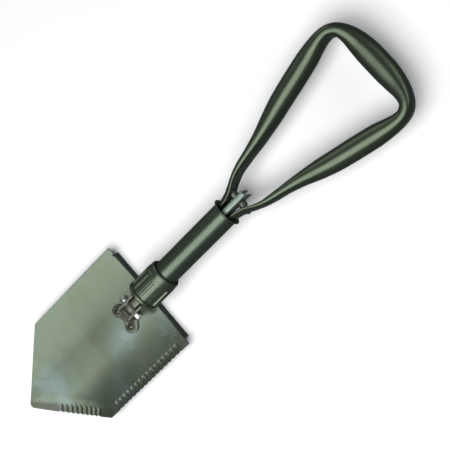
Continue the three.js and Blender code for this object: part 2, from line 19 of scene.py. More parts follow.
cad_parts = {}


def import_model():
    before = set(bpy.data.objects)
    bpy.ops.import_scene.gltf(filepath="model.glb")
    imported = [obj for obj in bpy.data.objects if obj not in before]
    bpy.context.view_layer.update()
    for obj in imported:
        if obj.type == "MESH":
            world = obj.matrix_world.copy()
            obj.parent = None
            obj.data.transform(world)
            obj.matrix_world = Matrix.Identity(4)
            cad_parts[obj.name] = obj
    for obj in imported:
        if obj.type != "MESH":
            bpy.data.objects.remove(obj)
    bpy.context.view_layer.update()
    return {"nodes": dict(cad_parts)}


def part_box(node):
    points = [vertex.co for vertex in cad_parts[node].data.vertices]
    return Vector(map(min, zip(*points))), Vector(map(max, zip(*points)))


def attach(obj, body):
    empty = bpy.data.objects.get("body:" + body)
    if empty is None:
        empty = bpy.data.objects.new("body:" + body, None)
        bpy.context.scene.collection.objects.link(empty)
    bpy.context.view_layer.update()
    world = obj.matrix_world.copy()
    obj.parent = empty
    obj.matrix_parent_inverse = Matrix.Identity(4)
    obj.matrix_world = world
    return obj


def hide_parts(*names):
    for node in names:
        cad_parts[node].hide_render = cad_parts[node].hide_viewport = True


log = logging.getLogger("camp_shovel")

MM = 0.001
ALONG = Vector((0, 1, 0))
ACROSS = Vector((1, 0, 0))
UP = Vector((0, 0, 1))
GAP = 0.3  # clearance between neighbouring pieces, in millimetres

Profile = list[tuple[float, float]]
Colour = tuple[float, float, float]


class Body(Enum):
    """The bodies that the shovel's pieces ride on."""

    SHAFT = "shaft_core"
    BLADE = "blade_assembly"
    NUT_CARRIAGE = "nut_carriage"
    NUT = "nut"
    TUBE = "sliding_tube"
    GRIP = "grip"


class Slot(Enum):
    """The record's finishes."""

    BLADE = "blade_paint"
    BRACKET = "bracket_paint"
    NUT = "nut_paint"
    TUBE = "tube_paint"
    LINK = "link_paint"
    GRIP = "grip_paint"
    RIVET = "rivet_steel"
    BARE_STEEL = "bare_steel"
    DARK_STEEL = "dark_steel"
    RUBBER = "black_rubber"
    PLASTIC = "bush_plastic"


# ---------------------------------------------------------------- hand tools
def rise(value: float, start: float, end: float) -> float:
    """How far a value has come from start to end, from 0 to 1."""
    return min(max((value - start) / (end - start), 0.0), 1.0)


def deselect() -> None:
    """Goes back to object mode with nothing selected."""
    if bpy.context.mode != "OBJECT":
        bpy.ops.object.mode_set(mode="OBJECT")
    bpy.ops.object.select_all(action="DESELECT")


def hold(piece: bpy.types.Object) -> None:
    """Selects one piece alone and makes it the active one.

    Args:
        piece: the piece to hold.
    """
    deselect()
    piece.select_set(True)
    bpy.context.view_layer.objects.active = piece


@contextmanager
def editing(piece: bpy.types.Object, everything: bool = False) -> Iterator[None]:
    """Opens a piece in edit mode and closes it again.

    Args:
        piece: the piece to open.
        everything: starts with all of the mesh selected instead of none of it.

    Yields:
        Nothing: the piece is open inside the with block.
    """
    hold(piece)
    bpy.ops.object.mode_set(mode="EDIT")
    bpy.ops.mesh.select_mode(type="VERT")
    bpy.ops.mesh.select_all(action="SELECT" if everything else "DESELECT")
    yield
    bpy.ops.object.mode_set(mode="OBJECT")


def pick(piece: bpy.types.Object, kind: str, wanted: Callable[[Vector, Vector], bool]) -> None:
    """Selects the faces or the edges of the open piece that pass a test.

    Args:
        piece: the piece in edit mode.
        kind: "FACE" or "EDGE".
        wanted: the test: it is given a face's middle and normal, or an edge's two ends.
    """
    mesh = bmesh.from_edit_mesh(piece.data)
    bpy.ops.mesh.select_mode(type=kind)
    bpy.ops.mesh.select_all(action="DESELECT")
    for part in mesh.faces if kind == "FACE" else mesh.edges:
        if kind == "FACE":
            first, second = part.calc_center_median(), part.normal
        else:
            first, second = (vertex.co for vertex in part.verts)
        part.select_set(wanted(first, second))
    mesh.select_flush_mode()
    bmesh.update_edit_mesh(piece.data)


def place_picked(piece: bpy.types.Object, move: Callable[[Vector], Vector]) -> None:
    """Puts the selected vertices of the open piece at new places.

    Args:
        piece: the piece in edit mode.
        move: gives a vertex's new place from its old one.
    """
    mesh = bmesh.from_edit_mesh(piece.data)
    for vertex in mesh.verts:
        if vertex.select:
            vertex.co = move(vertex.co)
    bmesh.update_edit_mesh(piece.data)


def modify(piece: bpy.types.Object, kind: str, **settings: object) -> None:
    """Adds one modifier to a piece, sets it up and applies it.

    Args:
        piece: the piece to change.
        kind: the modifier's type.
        settings: the modifier's own settings.
    """
    hold(piece)
    modifier = piece.modifiers.new(kind.lower(), kind)
    for name, value in settings.items():
        setattr(modifier, name, value)
    bpy.ops.object.modifier_apply(modifier=modifier.name)


def soften(piece: bpy.types.Object, width: float, angle: float = 38, segments: int = 2) -> None:
    """Rounds the sharp edges of a piece."""
    modify(piece, "BEVEL", width=width, segments=segments, limit_method="ANGLE",
           angle_limit=math.radians(angle), miter_outer="MITER_ARC")


def close_up(piece: bpy.types.Object, distance: float = 0.004) -> None:
    """Merges doubled vertices and turns all faces outwards.

    Args:
        piece: the piece to clean.
        distance: vertices closer than this become one.
    """
    with editing(piece, everything=True):
        bpy.ops.mesh.remove_doubles(threshold=distance)
        bpy.ops.mesh.normals_make_consistent(inside=False)


def turned(name: str, profile: Profile, steps: int = 96, axis: Vector = ALONG, out: Vector = UP,
           centre: Vector | None = None) -> bpy.types.Object:
    """Turns a piece as on a lathe, from a profile drawn point by point and spun.

    Args:
        name: the piece's name.
        profile: (radius, place along the axis) points; a ring's last point is its first.
        steps: sides of the turned piece.
        axis: the lathe's axis.
        out: the direction in which the profile is drawn.
        centre: a point on the axis.

    Returns:
        The closed piece.
    """
    middle = centre or Vector()
    points = [middle + axis * along + out * radius for radius, along in profile]
    deselect()
    bpy.ops.mesh.primitive_plane_add(size=1)
    piece = bpy.context.object
    piece.name = name
    with editing(piece, everything=True):
        bpy.ops.mesh.merge(type="CENTER")
        bpy.ops.transform.translate(value=points[0])
        for start, end in zip(points, points[1:]):
            bpy.ops.mesh.extrude_vertices_move(TRANSFORM_OT_translate={"value": end - start})
        bpy.ops.mesh.select_all(action="SELECT")
        bpy.ops.mesh.spin(steps=steps, angle=2 * math.pi, center=middle, axis=axis)
    close_up(piece)
    return piece


def shaped_sheet(name: str, columns: int, rows: int,
                 place: Callable[[int, int], Vector]) -> bpy.types.Object:
    """Shapes a grid primitive, vertex by vertex.

    Args:
        name: the piece's name.
        columns: cells across the grid.
        rows: cells up the grid.
        place: gives the place of the vertex in a column and a row.

    Returns:
        The shaped sheet, still open.
    """
    deselect()
    bpy.ops.mesh.primitive_grid_add(x_subdivisions=columns, y_subdivisions=rows, size=2)
    piece = bpy.context.object
    piece.name = name
    for vertex in piece.data.vertices:
        column = round((vertex.co.x + 1) / 2 * columns)
        row = round((vertex.co.y + 1) / 2 * rows)
        vertex.co = place(column, row)
    return piece


def bore(piece: bpy.types.Object, radius: float, centre: Vector, axis: Vector, length: float) -> None:
    """Drills a round hole through a piece.

    Args:
        piece: the piece to drill.
        radius: the hole's radius.
        centre: the middle of the hole.
        axis: the way that the hole runs.
        length: the drill's length, past both faces.
    """
    end = length / 2
    drill = turned("drill", [(0, -end), (radius, -end), (radius, end), (0, end)], 48, axis, UP, centre)
    modify(piece, "BOOLEAN", object=drill, operation="DIFFERENCE", solver="EXACT")
    bpy.data.objects.remove(drill)


def traced_copy(name: str, node: str, hinge: Vector) -> bpy.types.Object:
    """Copies a CAD node's shape as one clean mesh, in millimetres from the hinge.

    Args:
        name: the new piece's name.
        node: the CAD node.
        hinge: the hinge's place in the frame.

    Returns:
        The copy, with its flat stretches joined into single faces.
    """
    source = bpy.data.objects[node]
    piece = bpy.data.objects.new(name, source.data.copy())
    bpy.context.scene.collection.objects.link(piece)
    piece.data.materials.clear()
    piece.data.transform(Matrix.Scale(1 / MM, 4) @ Matrix.Translation(-hinge))
    with editing(piece, everything=True):
        bpy.ops.mesh.remove_doubles(threshold=0.02)
        bpy.ops.mesh.customdata_custom_splitnormals_clear()
        bpy.ops.mesh.dissolve_limited(angle_limit=math.radians(1.5))
        bpy.ops.mesh.normals_make_consistent(inside=False)
    return piece


# ---------------------------------------------------------------- finishes
class Wire:
    """A value in a material's node tree that can be used in a Python sum."""

    def __init__(self, sheet: "FinishSheet", socket: bpy.types.NodeSocket) -> None:
        """Keeps the socket and the sheet that it is drawn on."""
        self.sheet = sheet
        self.socket = socket

    def _sum(self, operation: str, first: object, second: object) -> "Wire":
        """Adds one Math node."""
        return self.sheet.node("ShaderNodeMath", {"operation": operation}, {0: first, 1: second})

    def __add__(self, other: object) -> "Wire":
        """Self plus other."""
        return self._sum("ADD", self, other)

    __radd__ = __add__

    def __sub__(self, other: object) -> "Wire":
        """Self minus other."""
        return self._sum("SUBTRACT", self, other)

    def __rsub__(self, other: object) -> "Wire":
        """Other minus self."""
        return self._sum("SUBTRACT", other, self)

    def __mul__(self, other: object) -> "Wire":
        """Self times other."""
        return self._sum("MULTIPLY", self, other)

    def between(self, low: float, high: float) -> "Wire":
        """0 below low, 1 above high and a smooth rise between them."""
        return self.sheet.node("ShaderNodeMapRange", {"interpolation_type": "SMOOTHSTEP"},
                               {"Value": self, "From Min": low, "From Max": high})


class FinishSheet:
    """One material's node tree, drawn node by node."""

    def __init__(self, name: str) -> None:
        """Starts an empty material with its shader and output.

        Args:
            name: the material's name.
        """
        self.material = bpy.data.materials.new(name)
        self.material.use_nodes = True
        self.tree = self.material.node_tree
        self.tree.nodes.clear()
        self.shader = self.tree.nodes.new("ShaderNodeBsdfPrincipled")
        out = self.tree.nodes.new("ShaderNodeOutputMaterial")
        self.tree.links.new(self.shader.outputs["BSDF"], out.inputs["Surface"])
        self.place = self.node("ShaderNodeTexCoord", output="Object")

    def node(self, kind: str, settings: dict[str, object] | None = None,
             inputs: dict[int | str, object] | None = None, output: int | str = 0) -> Wire:
        """Adds a node of any kind.

        Args:
            kind: the node's type.
            settings: its own settings.
            inputs: its sockets' values, or the wires that feed them.
            output: which of its outputs to give back.

        Returns:
            A wire on the asked output.
        """
        made = self.tree.nodes.new(kind)
        for name, value in (settings or {}).items():
            setattr(made, name, value)
        for key, value in (inputs or {}).items():
            self.feed(made.inputs[key], value)
        return Wire(self, made.outputs[output])

    def feed(self, socket: bpy.types.NodeSocket, value: object) -> None:
        """Links a wire to a socket, or sets the socket's own value.

        Args:
            socket: the socket to feed.
            value: a wire, a colour or a number.
        """
        if isinstance(value, Wire):
            self.tree.links.new(value.socket, socket)
        elif isinstance(value, tuple) and len(value) == 3 and socket.type == "RGBA":
            socket.default_value = (*value, 1)
        else:
            socket.default_value = value

    def set(self, **inputs: object) -> None:
        """Feeds the shader's own sockets.

        Args:
            inputs: the sockets' values or wires, named with _ for a space.
        """
        for name, value in inputs.items():
            title = name.replace("_", " ").title().replace("Ior", "IOR")
            self.feed(self.shader.inputs[title], value)

    def noise(self, scale: float, detail: float = 3, stretch: tuple[float, float, float] = (1, 1, 1),
              roughness: float = 0.55) -> Wire:
        """A noise pattern from 0 to 1, with grains of about 1 / scale metres.

        Args:
            scale: the pattern's scale.
            detail: its octaves.
            stretch: factors on the three directions.
            roughness: how strong its finer octaves are.

        Returns:
            The pattern's value.
        """
        place = self.node("ShaderNodeMapping", {"vector_type": "POINT"},
                          {"Vector": self.place, "Scale": stretch})
        return self.node("ShaderNodeTexNoise", None,
                         {"Vector": place, "Scale": scale, "Detail": detail, "Roughness": roughness})

    def mix(self, amount: object, first: object, second: object) -> Wire:
        """Mixes two colours."""
        return self.node("ShaderNodeMix", {"data_type": "RGBA"}, {0: amount, 6: first, 7: second}, 2)

    def rims(self, radius: float) -> Wire:
        """Finds a piece's sharp edges.

        Args:
            radius: how far from an edge it is still felt, in metres.

        Returns:
            1 along the edges and 0 on the open faces.
        """
        bent = self.node("ShaderNodeBevel", {"samples": 6}, {"Radius": radius})
        flat = self.node("ShaderNodeNewGeometry", output="Normal")
        same = self.node("ShaderNodeVectorMath", {"operation": "DOT_PRODUCT"}, {0: bent, 1: flat}, 1)
        return (1 - same).between(0.004, 0.16)

    def bump(self, height: Wire, depth: float) -> None:
        """Raises the surface by a pattern, by a depth in metres."""
        self.set(normal=self.node("ShaderNodeBump", None,
                                  {"Strength": 1.0, "Distance": depth, "Height": height}))


@dataclass(frozen=True)
class Paint:
    """Sprayed paint on steel: two close tones, scuffs, worn rims, patches, and painted shade darkening the
    fluted edges.
    """

    tone: Colour
    other_tone: Colour
    scuff: Colour
    worn: Colour
    roughness: float = 0.4
    scuffing: float = 0.35
    edge_wear: float = 0.6
    skin_depth: float = 0.00006
    metal: float = 0.6
    patches: float = 0.0
    # how strongly the fluted edges are darkened as painted shade
    flute_shade_strength: float = 0.0
    patch_tone: Colour = (0.11, 0.148, 0.145)
    stain_tone: Colour = (0.068, 0.06, 0.036)
    # painted shade: the dark brownish tone laid over the fluted edges
    flute_shade_tone: Colour = (0.034, 0.032, 0.02)
    side_band: tuple[float, float] = (0.0605, 0.066)
    point_band: tuple[float, float] = (0.2025, 0.208)
    point_slope: tuple[float, float] = (0.7, 0.714)

    def flute_shade_bands(self, sheet: FinishSheet) -> Wire:
        """Finds the bands along the blade's fluted side and point, where painted shade darkens the flutes.

        Args:
            sheet: the paint's node tree.

        Returns:
            A wire that rises across each band, in metres, and is 0 further in.
        """
        across, along = (sheet.node("ShaderNodeSeparateXYZ", None, {0: sheet.place}, axis) for axis in "XY")
        out = across * self.point_slope[0] - along * self.point_slope[1]
        side, point = across.between(*self.side_band), out.between(*self.point_band)
        return sheet.node("ShaderNodeMath", {"operation": "MAXIMUM"}, {0: side, 1: point}) * self.flute_shade_strength

    def make(self, name: str) -> bpy.types.Material:
        """Draws the paint's nodes.

        Args:
            name: the material's name.

        Returns:
            The finished material.
        """
        sheet = FinishSheet(name)
        drift = sheet.noise(16, 4).between(0.3, 0.7)
        mottle = sheet.noise(150, 4, roughness=0.7)
        skin = sheet.noise(1500, 2)
        streaks = sheet.noise(60, 5, (14, 1, 14), 0.65)
        rub = streaks.between(0.56, 0.74) * sheet.noise(26, 3).between(0.42, 0.66) * self.scuffing
        flaking = sheet.noise(420, 4, roughness=0.7).between(0.36, 0.62)
        chips = sheet.rims(0.0007) * flaking * self.edge_wear
        base = sheet.mix(drift, self.tone, self.other_tone)
        speckled = sheet.mix(mottle.between(0.35, 0.75) * 0.4, base, self.other_tone)
        patch = sheet.noise(13, 3, roughness=0.5).between(0.48, 0.68) * self.patches
        stain = sheet.noise(38, 5, roughness=0.7).between(0.52, 0.72) * self.patches * 0.7
        handled = sheet.mix(stain, sheet.mix(patch, speckled, self.patch_tone), self.stain_tone)
        # Painted shade: the fluted side and point bands are mixed towards a dark brownish tone and made
        # rougher, standing in for the shade in the flutes.
        flute_shade_mask = self.flute_shade_bands(sheet)
        rubbed = sheet.mix(rub, sheet.mix(flute_shade_mask, handled, self.flute_shade_tone), self.scuff)
        sheet.set(base_color=sheet.mix(chips, rubbed, self.worn), metallic=self.metal,
                  roughness=self.roughness - 0.05 + mottle * 0.1 + rub * 0.3 + flute_shade_mask * 0.2)
        sheet.bump(skin * 0.6 + mottle * 0.5 - rub * 0.5, self.skin_depth)
        return sheet.material


@dataclass(frozen=True)
class Steel:
    """Bare or oiled steel with fine tool marks."""

    tone: Colour
    stain: Colour
    roughness: float
    marks: tuple[float, float, float]

    def make(self, name: str) -> bpy.types.Material:
        """Draws the steel's nodes.

        Args:
            name: the material's name.

        Returns:
            The finished material.
        """
        sheet = FinishSheet(name)
        lines = sheet.noise(90, 4, self.marks, 0.7)
        stains = sheet.noise(120, 4).between(0.45, 0.75)
        sheet.set(base_color=sheet.mix(stains * 0.6, self.tone, self.stain), metallic=1.0,
                  roughness=self.roughness + lines * 0.12 + stains * 0.15)
        sheet.bump(lines + stains * 0.4, 0.00004)
        return sheet.material


@dataclass(frozen=True)
class Moulding:
    """Rubber or moulded plastic with a fine matt grain."""

    tone: Colour
    dust: Colour
    roughness: float

    def make(self, name: str) -> bpy.types.Material:
        """Draws the moulding's nodes.

        Args:
            name: the material's name.

        Returns:
            The finished material.
        """
        sheet = FinishSheet(name)
        grain = sheet.noise(1800, 3)
        dust = sheet.noise(90, 4).between(0.5, 0.8) * 0.35
        sheet.set(base_color=sheet.mix(dust, self.tone, self.dust),
                  roughness=self.roughness + grain * 0.15, specular_ior_level=0.35)
        sheet.bump(grain, 0.00005)
        return sheet.material


FINISHES: dict[Slot, Paint | Steel | Moulding] = {
    # The blade's paint darkens its fluted edges as painted shade.
    Slot.BLADE: Paint(tone=(0.066, 0.086, 0.056), other_tone=(0.076, 0.1, 0.07), scuff=(0.13, 0.15, 0.11),
                      worn=(0.1, 0.085, 0.05), roughness=0.23, scuffing=0.35, edge_wear=0.9, metal=0.6,
                      patches=0.8, flute_shade_strength=0.6),
    Slot.BRACKET: Paint(tone=(0.082, 0.084, 0.062), other_tone=(0.066, 0.074, 0.053),
                        scuff=(0.25, 0.24, 0.19), worn=(0.2, 0.2, 0.16), roughness=0.36, scuffing=0.4,
                        edge_wear=0.7, metal=0.6),
    Slot.NUT: Paint(tone=(0.066, 0.088, 0.06), other_tone=(0.078, 0.1, 0.07), scuff=(0.22, 0.25, 0.19),
                    worn=(0.27, 0.29, 0.22), roughness=0.33, scuffing=0.3, edge_wear=0.6, metal=0.72),
    Slot.TUBE: Paint(tone=(0.064, 0.086, 0.062), other_tone=(0.074, 0.098, 0.07), scuff=(0.2, 0.26, 0.2),
                     worn=(0.3, 0.34, 0.27), roughness=0.32, scuffing=0.2, edge_wear=0.5,
                     skin_depth=0.00003, metal=0.78),
    Slot.LINK: Paint(tone=(0.2, 0.26, 0.225), other_tone=(0.16, 0.21, 0.18), scuff=(0.4, 0.46, 0.4),
                     worn=(0.45, 0.48, 0.42), roughness=0.36, scuffing=0.4, edge_wear=0.5, metal=0.5),
    Slot.GRIP: Paint(tone=(0.056, 0.074, 0.048), other_tone=(0.068, 0.088, 0.058), scuff=(0.2, 0.24, 0.17),
                     worn=(0.3, 0.32, 0.24), roughness=0.32, scuffing=0.25, edge_wear=0.5,
                     skin_depth=0.00003, metal=0.78),
    Slot.RIVET: Paint(tone=(0.06, 0.068, 0.052), other_tone=(0.075, 0.08, 0.062), scuff=(0.34, 0.34, 0.3),
                      worn=(0.2, 0.2, 0.17), roughness=0.2, scuffing=0.5, edge_wear=0.3, metal=0.75),
    Slot.BARE_STEEL: Steel(tone=(0.62, 0.64, 0.62), stain=(0.34, 0.34, 0.3), roughness=0.22,
                           marks=(12, 1, 1)),
    Slot.DARK_STEEL: Steel(tone=(0.12, 0.13, 0.12), stain=(0.06, 0.06, 0.052), roughness=0.38,
                           marks=(1, 8, 1)),
    Slot.RUBBER: Moulding(tone=(0.008, 0.009, 0.009), dust=(0.03, 0.03, 0.028), roughness=0.5),
    Slot.PLASTIC: Moulding(tone=(0.03, 0.034, 0.03), dust=(0.06, 0.06, 0.055), roughness=0.42),
}


# ---------------------------------------------------------------- the bench
@dataclass
class Bench:
    """Knows where the hinge is in the frame, and finishes every piece there."""

    hinge: Vector
    nodes: dict[str, bpy.types.Object]
    coats: dict[Slot, bpy.types.Material]

    def finish(self, piece: bpy.types.Object, body: Body, slot: Slot, *replaced: str,
               smooth: float = 32) -> bpy.types.Object:
        """Moves a piece into the frame, smooths it, paints it and hangs it on its body.

        Args:
            piece: the modelled piece, in millimetres from the hinge.
            body: the body that it rides on.
            slot: its finish.
            replaced: the CAD nodes that it stands for.
            smooth: edges below this angle in degrees are shaded smooth.

        Returns:
            The same piece.
        """
        hold(piece)
        bpy.ops.object.shade_smooth_by_angle(angle=math.radians(smooth))
        piece.data.transform(Matrix.Translation(self.hinge) @ Matrix.Scale(MM, 4))
        piece.data.materials.clear()
        piece.data.materials.append(self.coats[slot])
        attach(piece, body.value)
        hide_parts(*replaced)
        log.info("%s: %d faces on %s", piece.name, len(piece.data.polygons), body.value)
        return piece

    def dress(self, slot: Slot, *names: str) -> None:
        """Gives CAD nodes that stay as they are their finish.

        Args:
            slot: the finish.
            names: the CAD nodes.
        """
        for name in names:
            node = self.nodes[name]
            node.data.materials.clear()
            node.data.materials.append(self.coats[slot])
            log.info("%s: CAD shape kept, finish %s", name, slot.value)


# ---------------------------------------------------------------- blade
@dataclass(frozen=True)
class Flute:
    """One ground groove: its foot on the blade's edge and the way that it runs inwards."""

    foot: Vector
    inward: Vector


@dataclass
class Blade:
    """The pressed blade with its tread flange, and the bracket and rivets that hold it."""

    bench: Bench
    tip_y: float = -194.0
    shoulder_y: float = -120.0
    half: float = 73.0
    rear_y: float = 17.7
    face_z: float = -21.3
    ground_z: float = -31.6
    sheet: float = 2.0
    bracket_plate: float = 2.5
    seat_half: float = 18.0
    side_lift: float = 4.2
    dish: float = 1.6
    dish_rear: tuple[float, float] = (-45.0, -80.0)
    dish_front: tuple[float, float] = (-165.0, -120.0)
    curl_start: float = -150.0
    tip_lift: float = 5.8
    tip_lean: float = 4.5
    nose: float = 6.0
    nose_join: float = 0.265
    nose_reach: float = 0.36
    bow: float = 3.2
    flange_half: float = 64.0
    bend: float = 2.6
    side_flutes: int = 16
    side_pitch: float = 7.0
    side_start: float = -102.5
    point_flutes: int = 9
    point_pitch: float = 6.4
    point_start: float = 19.0
    flute_radius: float = 2.7
    flute_depth: float = 1.6
    flute_length: float = 10.5
    flute_notch: float = 0.9
    edge_band: float = 17.0
    crease: float = 12.5
    crease_drop: float = 0.45
    rivet_x: float = 11.9
    rivet_y: float = -24.8
    pin_end: float = 15.5
    pin_seat: float = 9.7

    @property
    def bend_y(self) -> float:
        """Where the rear edge starts to turn down."""
        return self.rear_y - self.bend

    def face_height(self, x: float, y: float) -> float:
        """Height of the front face: flat at the bracket, dished, curled up at sides and point.

        Args:
            x: the place across the blade.
            y: the place along it.

        Returns:
            The height from the hinge's axis.
        """
        side = rise(abs(x), self.seat_half, self.half)
        along = rise(y, *self.dish_rear) * rise(y, *self.dish_front)
        tip = rise(y, self.curl_start, self.tip_y)
        return (self.face_z + self.side_lift * side ** 1.8 - self.dish * along * (1 - side ** 2)
                + self.tip_lift * tip ** 1.6)

    def half_width(self, y: float) -> float:
        """Half width of the blade: parallel sides, two bowed edges and a rounded point.

        Args:
            y: the place along the blade.

        Returns:
            The half width there.
        """
        if y >= self.shoulder_y:
            return self.half
        if y < self.tip_y + self.nose * self.nose_join:
            low = self.tip_y + self.nose - y
            return math.sqrt(max(0.6, self.nose ** 2 - low ** 2))
        crossing = self.tip_y - self.nose * self.nose_reach
        along = (self.shoulder_y - y) / (self.shoulder_y - crossing)
        return self.half * (1 - along) + self.bow * math.sin(math.pi * along)

    def lean(self, y: float) -> float:
        """How far the blade's middle line has moved away from the flutes at a place along it."""
        return self.tip_lean * max(0.0, (self.shoulder_y - y) / (self.shoulder_y - self.tip_y))

    def rows(self) -> list[float]:
        """Places of the mesh's rows, from the point to the bend: fine everywhere, finest at the point.

        Returns:
            The places along the blade.
        """
        start = self.tip_y + self.nose
        places = [self.tip_y + self.nose * (k / 9) ** 2 for k in range(9)]
        for low, high, step in ((start, self.shoulder_y, 0.72), (self.shoulder_y, self.bend_y, 0.75)):
            count = round((high - low) / step)
            places += [low + (high - low) * k / count for k in range(count)]
        return places + [self.bend_y]

    def columns(self) -> list[float]:
        """Places of the mesh's columns, as shares of the half width: fine along the fluted edge.

        Returns:
            The shares, from -1 to 1.
        """
        band = 1 - self.edge_band / self.half
        flange = self.flange_half / self.half
        plain = [-1, -0.985, -0.95, -0.915, -flange] + [-flange + flange * k / 16 for k in range(1, 17)]
        plain += [band * k / 16 for k in range(1, 17)]
        return plain + [band + (1 - band) * k / 26 for k in range(1, 27)]

    def flutes(self) -> list[Flute]:
        """Lays out the flutes along the side and along the point.

        Returns:
            The flutes.
        """
        made = [Flute(Vector((self.half, self.side_start + k * self.side_pitch)), Vector((-1, 0)))
                for k in range(self.side_flutes)]
        edge = Vector((-self.half, self.tip_y - self.shoulder_y)).normalized()
        inward = Vector((edge.y, -edge.x))
        for k in range(self.point_flutes):
            y = self.shoulder_y + edge.y * (self.point_start + k * self.point_pitch)
            made.append(Flute(Vector((self.half_width(y) - self.lean(y), y)), inward))
        return made

    def groove(self, x: float, y: float, flutes: list[Flute]) -> float:
        """Depth of the flutes at a place on the front face.

        Args:
            x: the place across the blade.
            y: the place along it.
            flutes: all the flutes.

        Returns:
            The depth, 0 between the flutes.
        """
        deepest = 0.0
        for flute in flutes:
            gap = Vector((x, y)) - flute.foot
            along = max(gap.dot(flute.inward), 0.0)
            aside = abs(gap.cross(flute.inward))
            if along < self.flute_length and aside < self.flute_radius:
                depth = self.flute_depth * (1 - (along / self.flute_length) ** 4) ** 0.5
                arc = math.sqrt(self.flute_radius ** 2 - aside ** 2) - (self.flute_radius - depth)
                deepest = max(deepest, arc)
        return deepest

    def crease_depth(self, x: float, y: float) -> float:
        """How far the ground land along the fluted point edge lies below the face.

        Args:
            x: the place across the blade.
            y: the place along it.

        Returns:
            The drop.
        """
        edge = Vector((self.half, self.shoulder_y - self.tip_y)).normalized()
        inside = (Vector((x + self.lean(y), y)) - Vector((0, self.tip_y))).cross(edge) * -1
        land = self.crease - inside + self.bow
        fade = min(max((self.shoulder_y + 6 - y) / 12, 0), 1) * min(max((x + self.lean(y) + 4) / 16, 0), 1)
        return self.crease_drop * min(max(land / 7, 0), 1) * fade

    def notch(self, x: float, y: float, flutes: list[Flute]) -> float:
        """How far the flutes' mouths draw the blade's edge inwards.

        Args:
            x: the place across the blade.
            y: the place along it.
            flutes: all the flutes.

        Returns:
            The draw, 0 between the flutes and 5 mm in from the edge.
        """
        deepest = 0.0
        for flute in flutes:
            gap = Vector((x, y)) - flute.foot
            along, aside = gap.dot(flute.inward), gap.cross(flute.inward)
            if -1 < along < 5 and abs(aside) < self.flute_radius:
                pull = self.flute_notch * (1 - (aside / self.flute_radius) ** 2) * (1 - max(along, 0) / 5)
                deepest = max(deepest, pull)
        return deepest

    def make_plate(self) -> bpy.types.Object:
        """Presses the sheet, grinds the flutes and bends the tread flange.

        Returns:
            The blade as one closed piece.
        """
        rows, columns, flutes = self.rows(), self.columns(), self.flutes()

        def place(column: int, row: int) -> Vector:
            """Puts one vertex of the sheet's underside in place.

            Args:
                column: its column.
                row: its row.

            Returns:
                Its place.
            """
            y = rows[row]
            x = self.half_width(y) * columns[column] - self.lean(y)
            inward = flutes[0].inward if y > self.shoulder_y else flutes[-1].inward
            flat = Vector((x, y)) + inward * self.notch(x, y, flutes)
            return Vector((*flat, self.face_height(x, y) - self.sheet))

        def grind(at: Vector) -> Vector:
            """Sinks a vertex of the face into its flute or its crease."""
            fluted = self.groove(at.x, at.y, flutes) if at.x > 0 else 0.0
            return Vector((at.x, at.y, at.z - max(fluted, self.crease_depth(at.x, at.y))))

        plate = shaped_sheet("blade_plate", len(columns) - 1, len(rows) - 1, place)
        with editing(plate, everything=True):
            bpy.ops.mesh.extrude_region_move(TRANSFORM_OT_translate={"value": (0, 0, self.sheet)})
            place_picked(plate, grind)
            self.bend_flange(plate)
            bpy.ops.mesh.select_all(action="SELECT")
            bpy.ops.mesh.remove_doubles(threshold=0.01)
            bpy.ops.mesh.normals_make_consistent(inside=False)
        soften(plate, 0.35, 62)
        return plate

    def bend_flange(self, plate: bpy.types.Object) -> None:
        """Extrudes the rear edge: its ends straight on, and the tread between them down through a bend.

        Args:
            plate: the blade's sheet, open in edit mode.
        """
        steps = 7
        turn = Matrix.Rotation(-math.pi / 2 / steps, 3, "X")
        before, after = self.bend_y - 0.1, self.bend_y + 1

        def bent(at: Vector) -> Vector:
            """Takes a vertex one step round the bend."""
            hub = Vector((at.x, self.bend_y, self.face_height(at.x, self.bend_y) - self.bend))
            return hub + turn @ (at - hub)

        pick(plate, "FACE", lambda at, n: n.y > 0.9 and at.y > before and abs(at.x) > self.flange_half)
        bpy.ops.mesh.extrude_region_move(TRANSFORM_OT_translate={"value": (0, self.bend, 0)})
        pick(plate, "FACE",
             lambda at, n: n.y > 0.9 and before < at.y < after and abs(at.x) < self.flange_half)
        for _ in range(steps):
            bpy.ops.mesh.extrude_region_move(TRANSFORM_OT_translate={"value": (0, 0, 0)})
            place_picked(plate, bent)
        bpy.ops.mesh.extrude_region_move(TRANSFORM_OT_translate={"value": (0, 0, -1)})
        place_picked(plate, lambda at: Vector((at.x, at.y, self.ground_z)))

    def make_rivet(self, side: int) -> bpy.types.Object:
        """Turns a domed rivet with a sunk ring round its crown.

        Args:
            side: 1 on the fluted side and -1 on the other.

        Returns:
            The rivet.
        """
        seat = self.face_z + GAP + self.bracket_plate + GAP
        under = self.face_z - self.sheet - GAP
        profile = [(0, under - 1.8), (1.6, under - 1.7), (3.2, under - 1.2), (4.1, under - 0.3),
                   (4.2, under), (3, under), (3, seat), (4.9, seat), (4.9, seat + 0.5), (4.6, seat + 0.85),
                   (4.1, seat + 0.9), (3.75, seat + 0.55), (3.4, seat + 0.75), (3.0, seat + 1.35),
                   (2.3, seat + 1.9), (1.3, seat + 2.25), (0, seat + 2.4)]
        centre = Vector((side * self.rivet_x, self.rivet_y, 0))
        return turned("rivet_" + ("right" if side > 0 else "left"), profile, 56, UP, ACROSS, centre)

    def make_pin(self) -> bpy.types.Object:
        """Turns the hinge pin with its two shouldered ends.

        Returns:
            The pin.
        """
        end, seat = self.pin_end, self.pin_seat
        half = [(0.0, end - 0.5), (1.4, end - 0.35), (1.7, end), (4.3, end), (4.9, end - 0.3),
                (5.2, end - 0.9), (5.2, seat + 0.3), (4.9, seat), (4, seat)]
        profile = half + [(radius, -along) for radius, along in reversed(half)]
        return turned("hinge_pin_turned", profile, 72, ACROSS, UP)

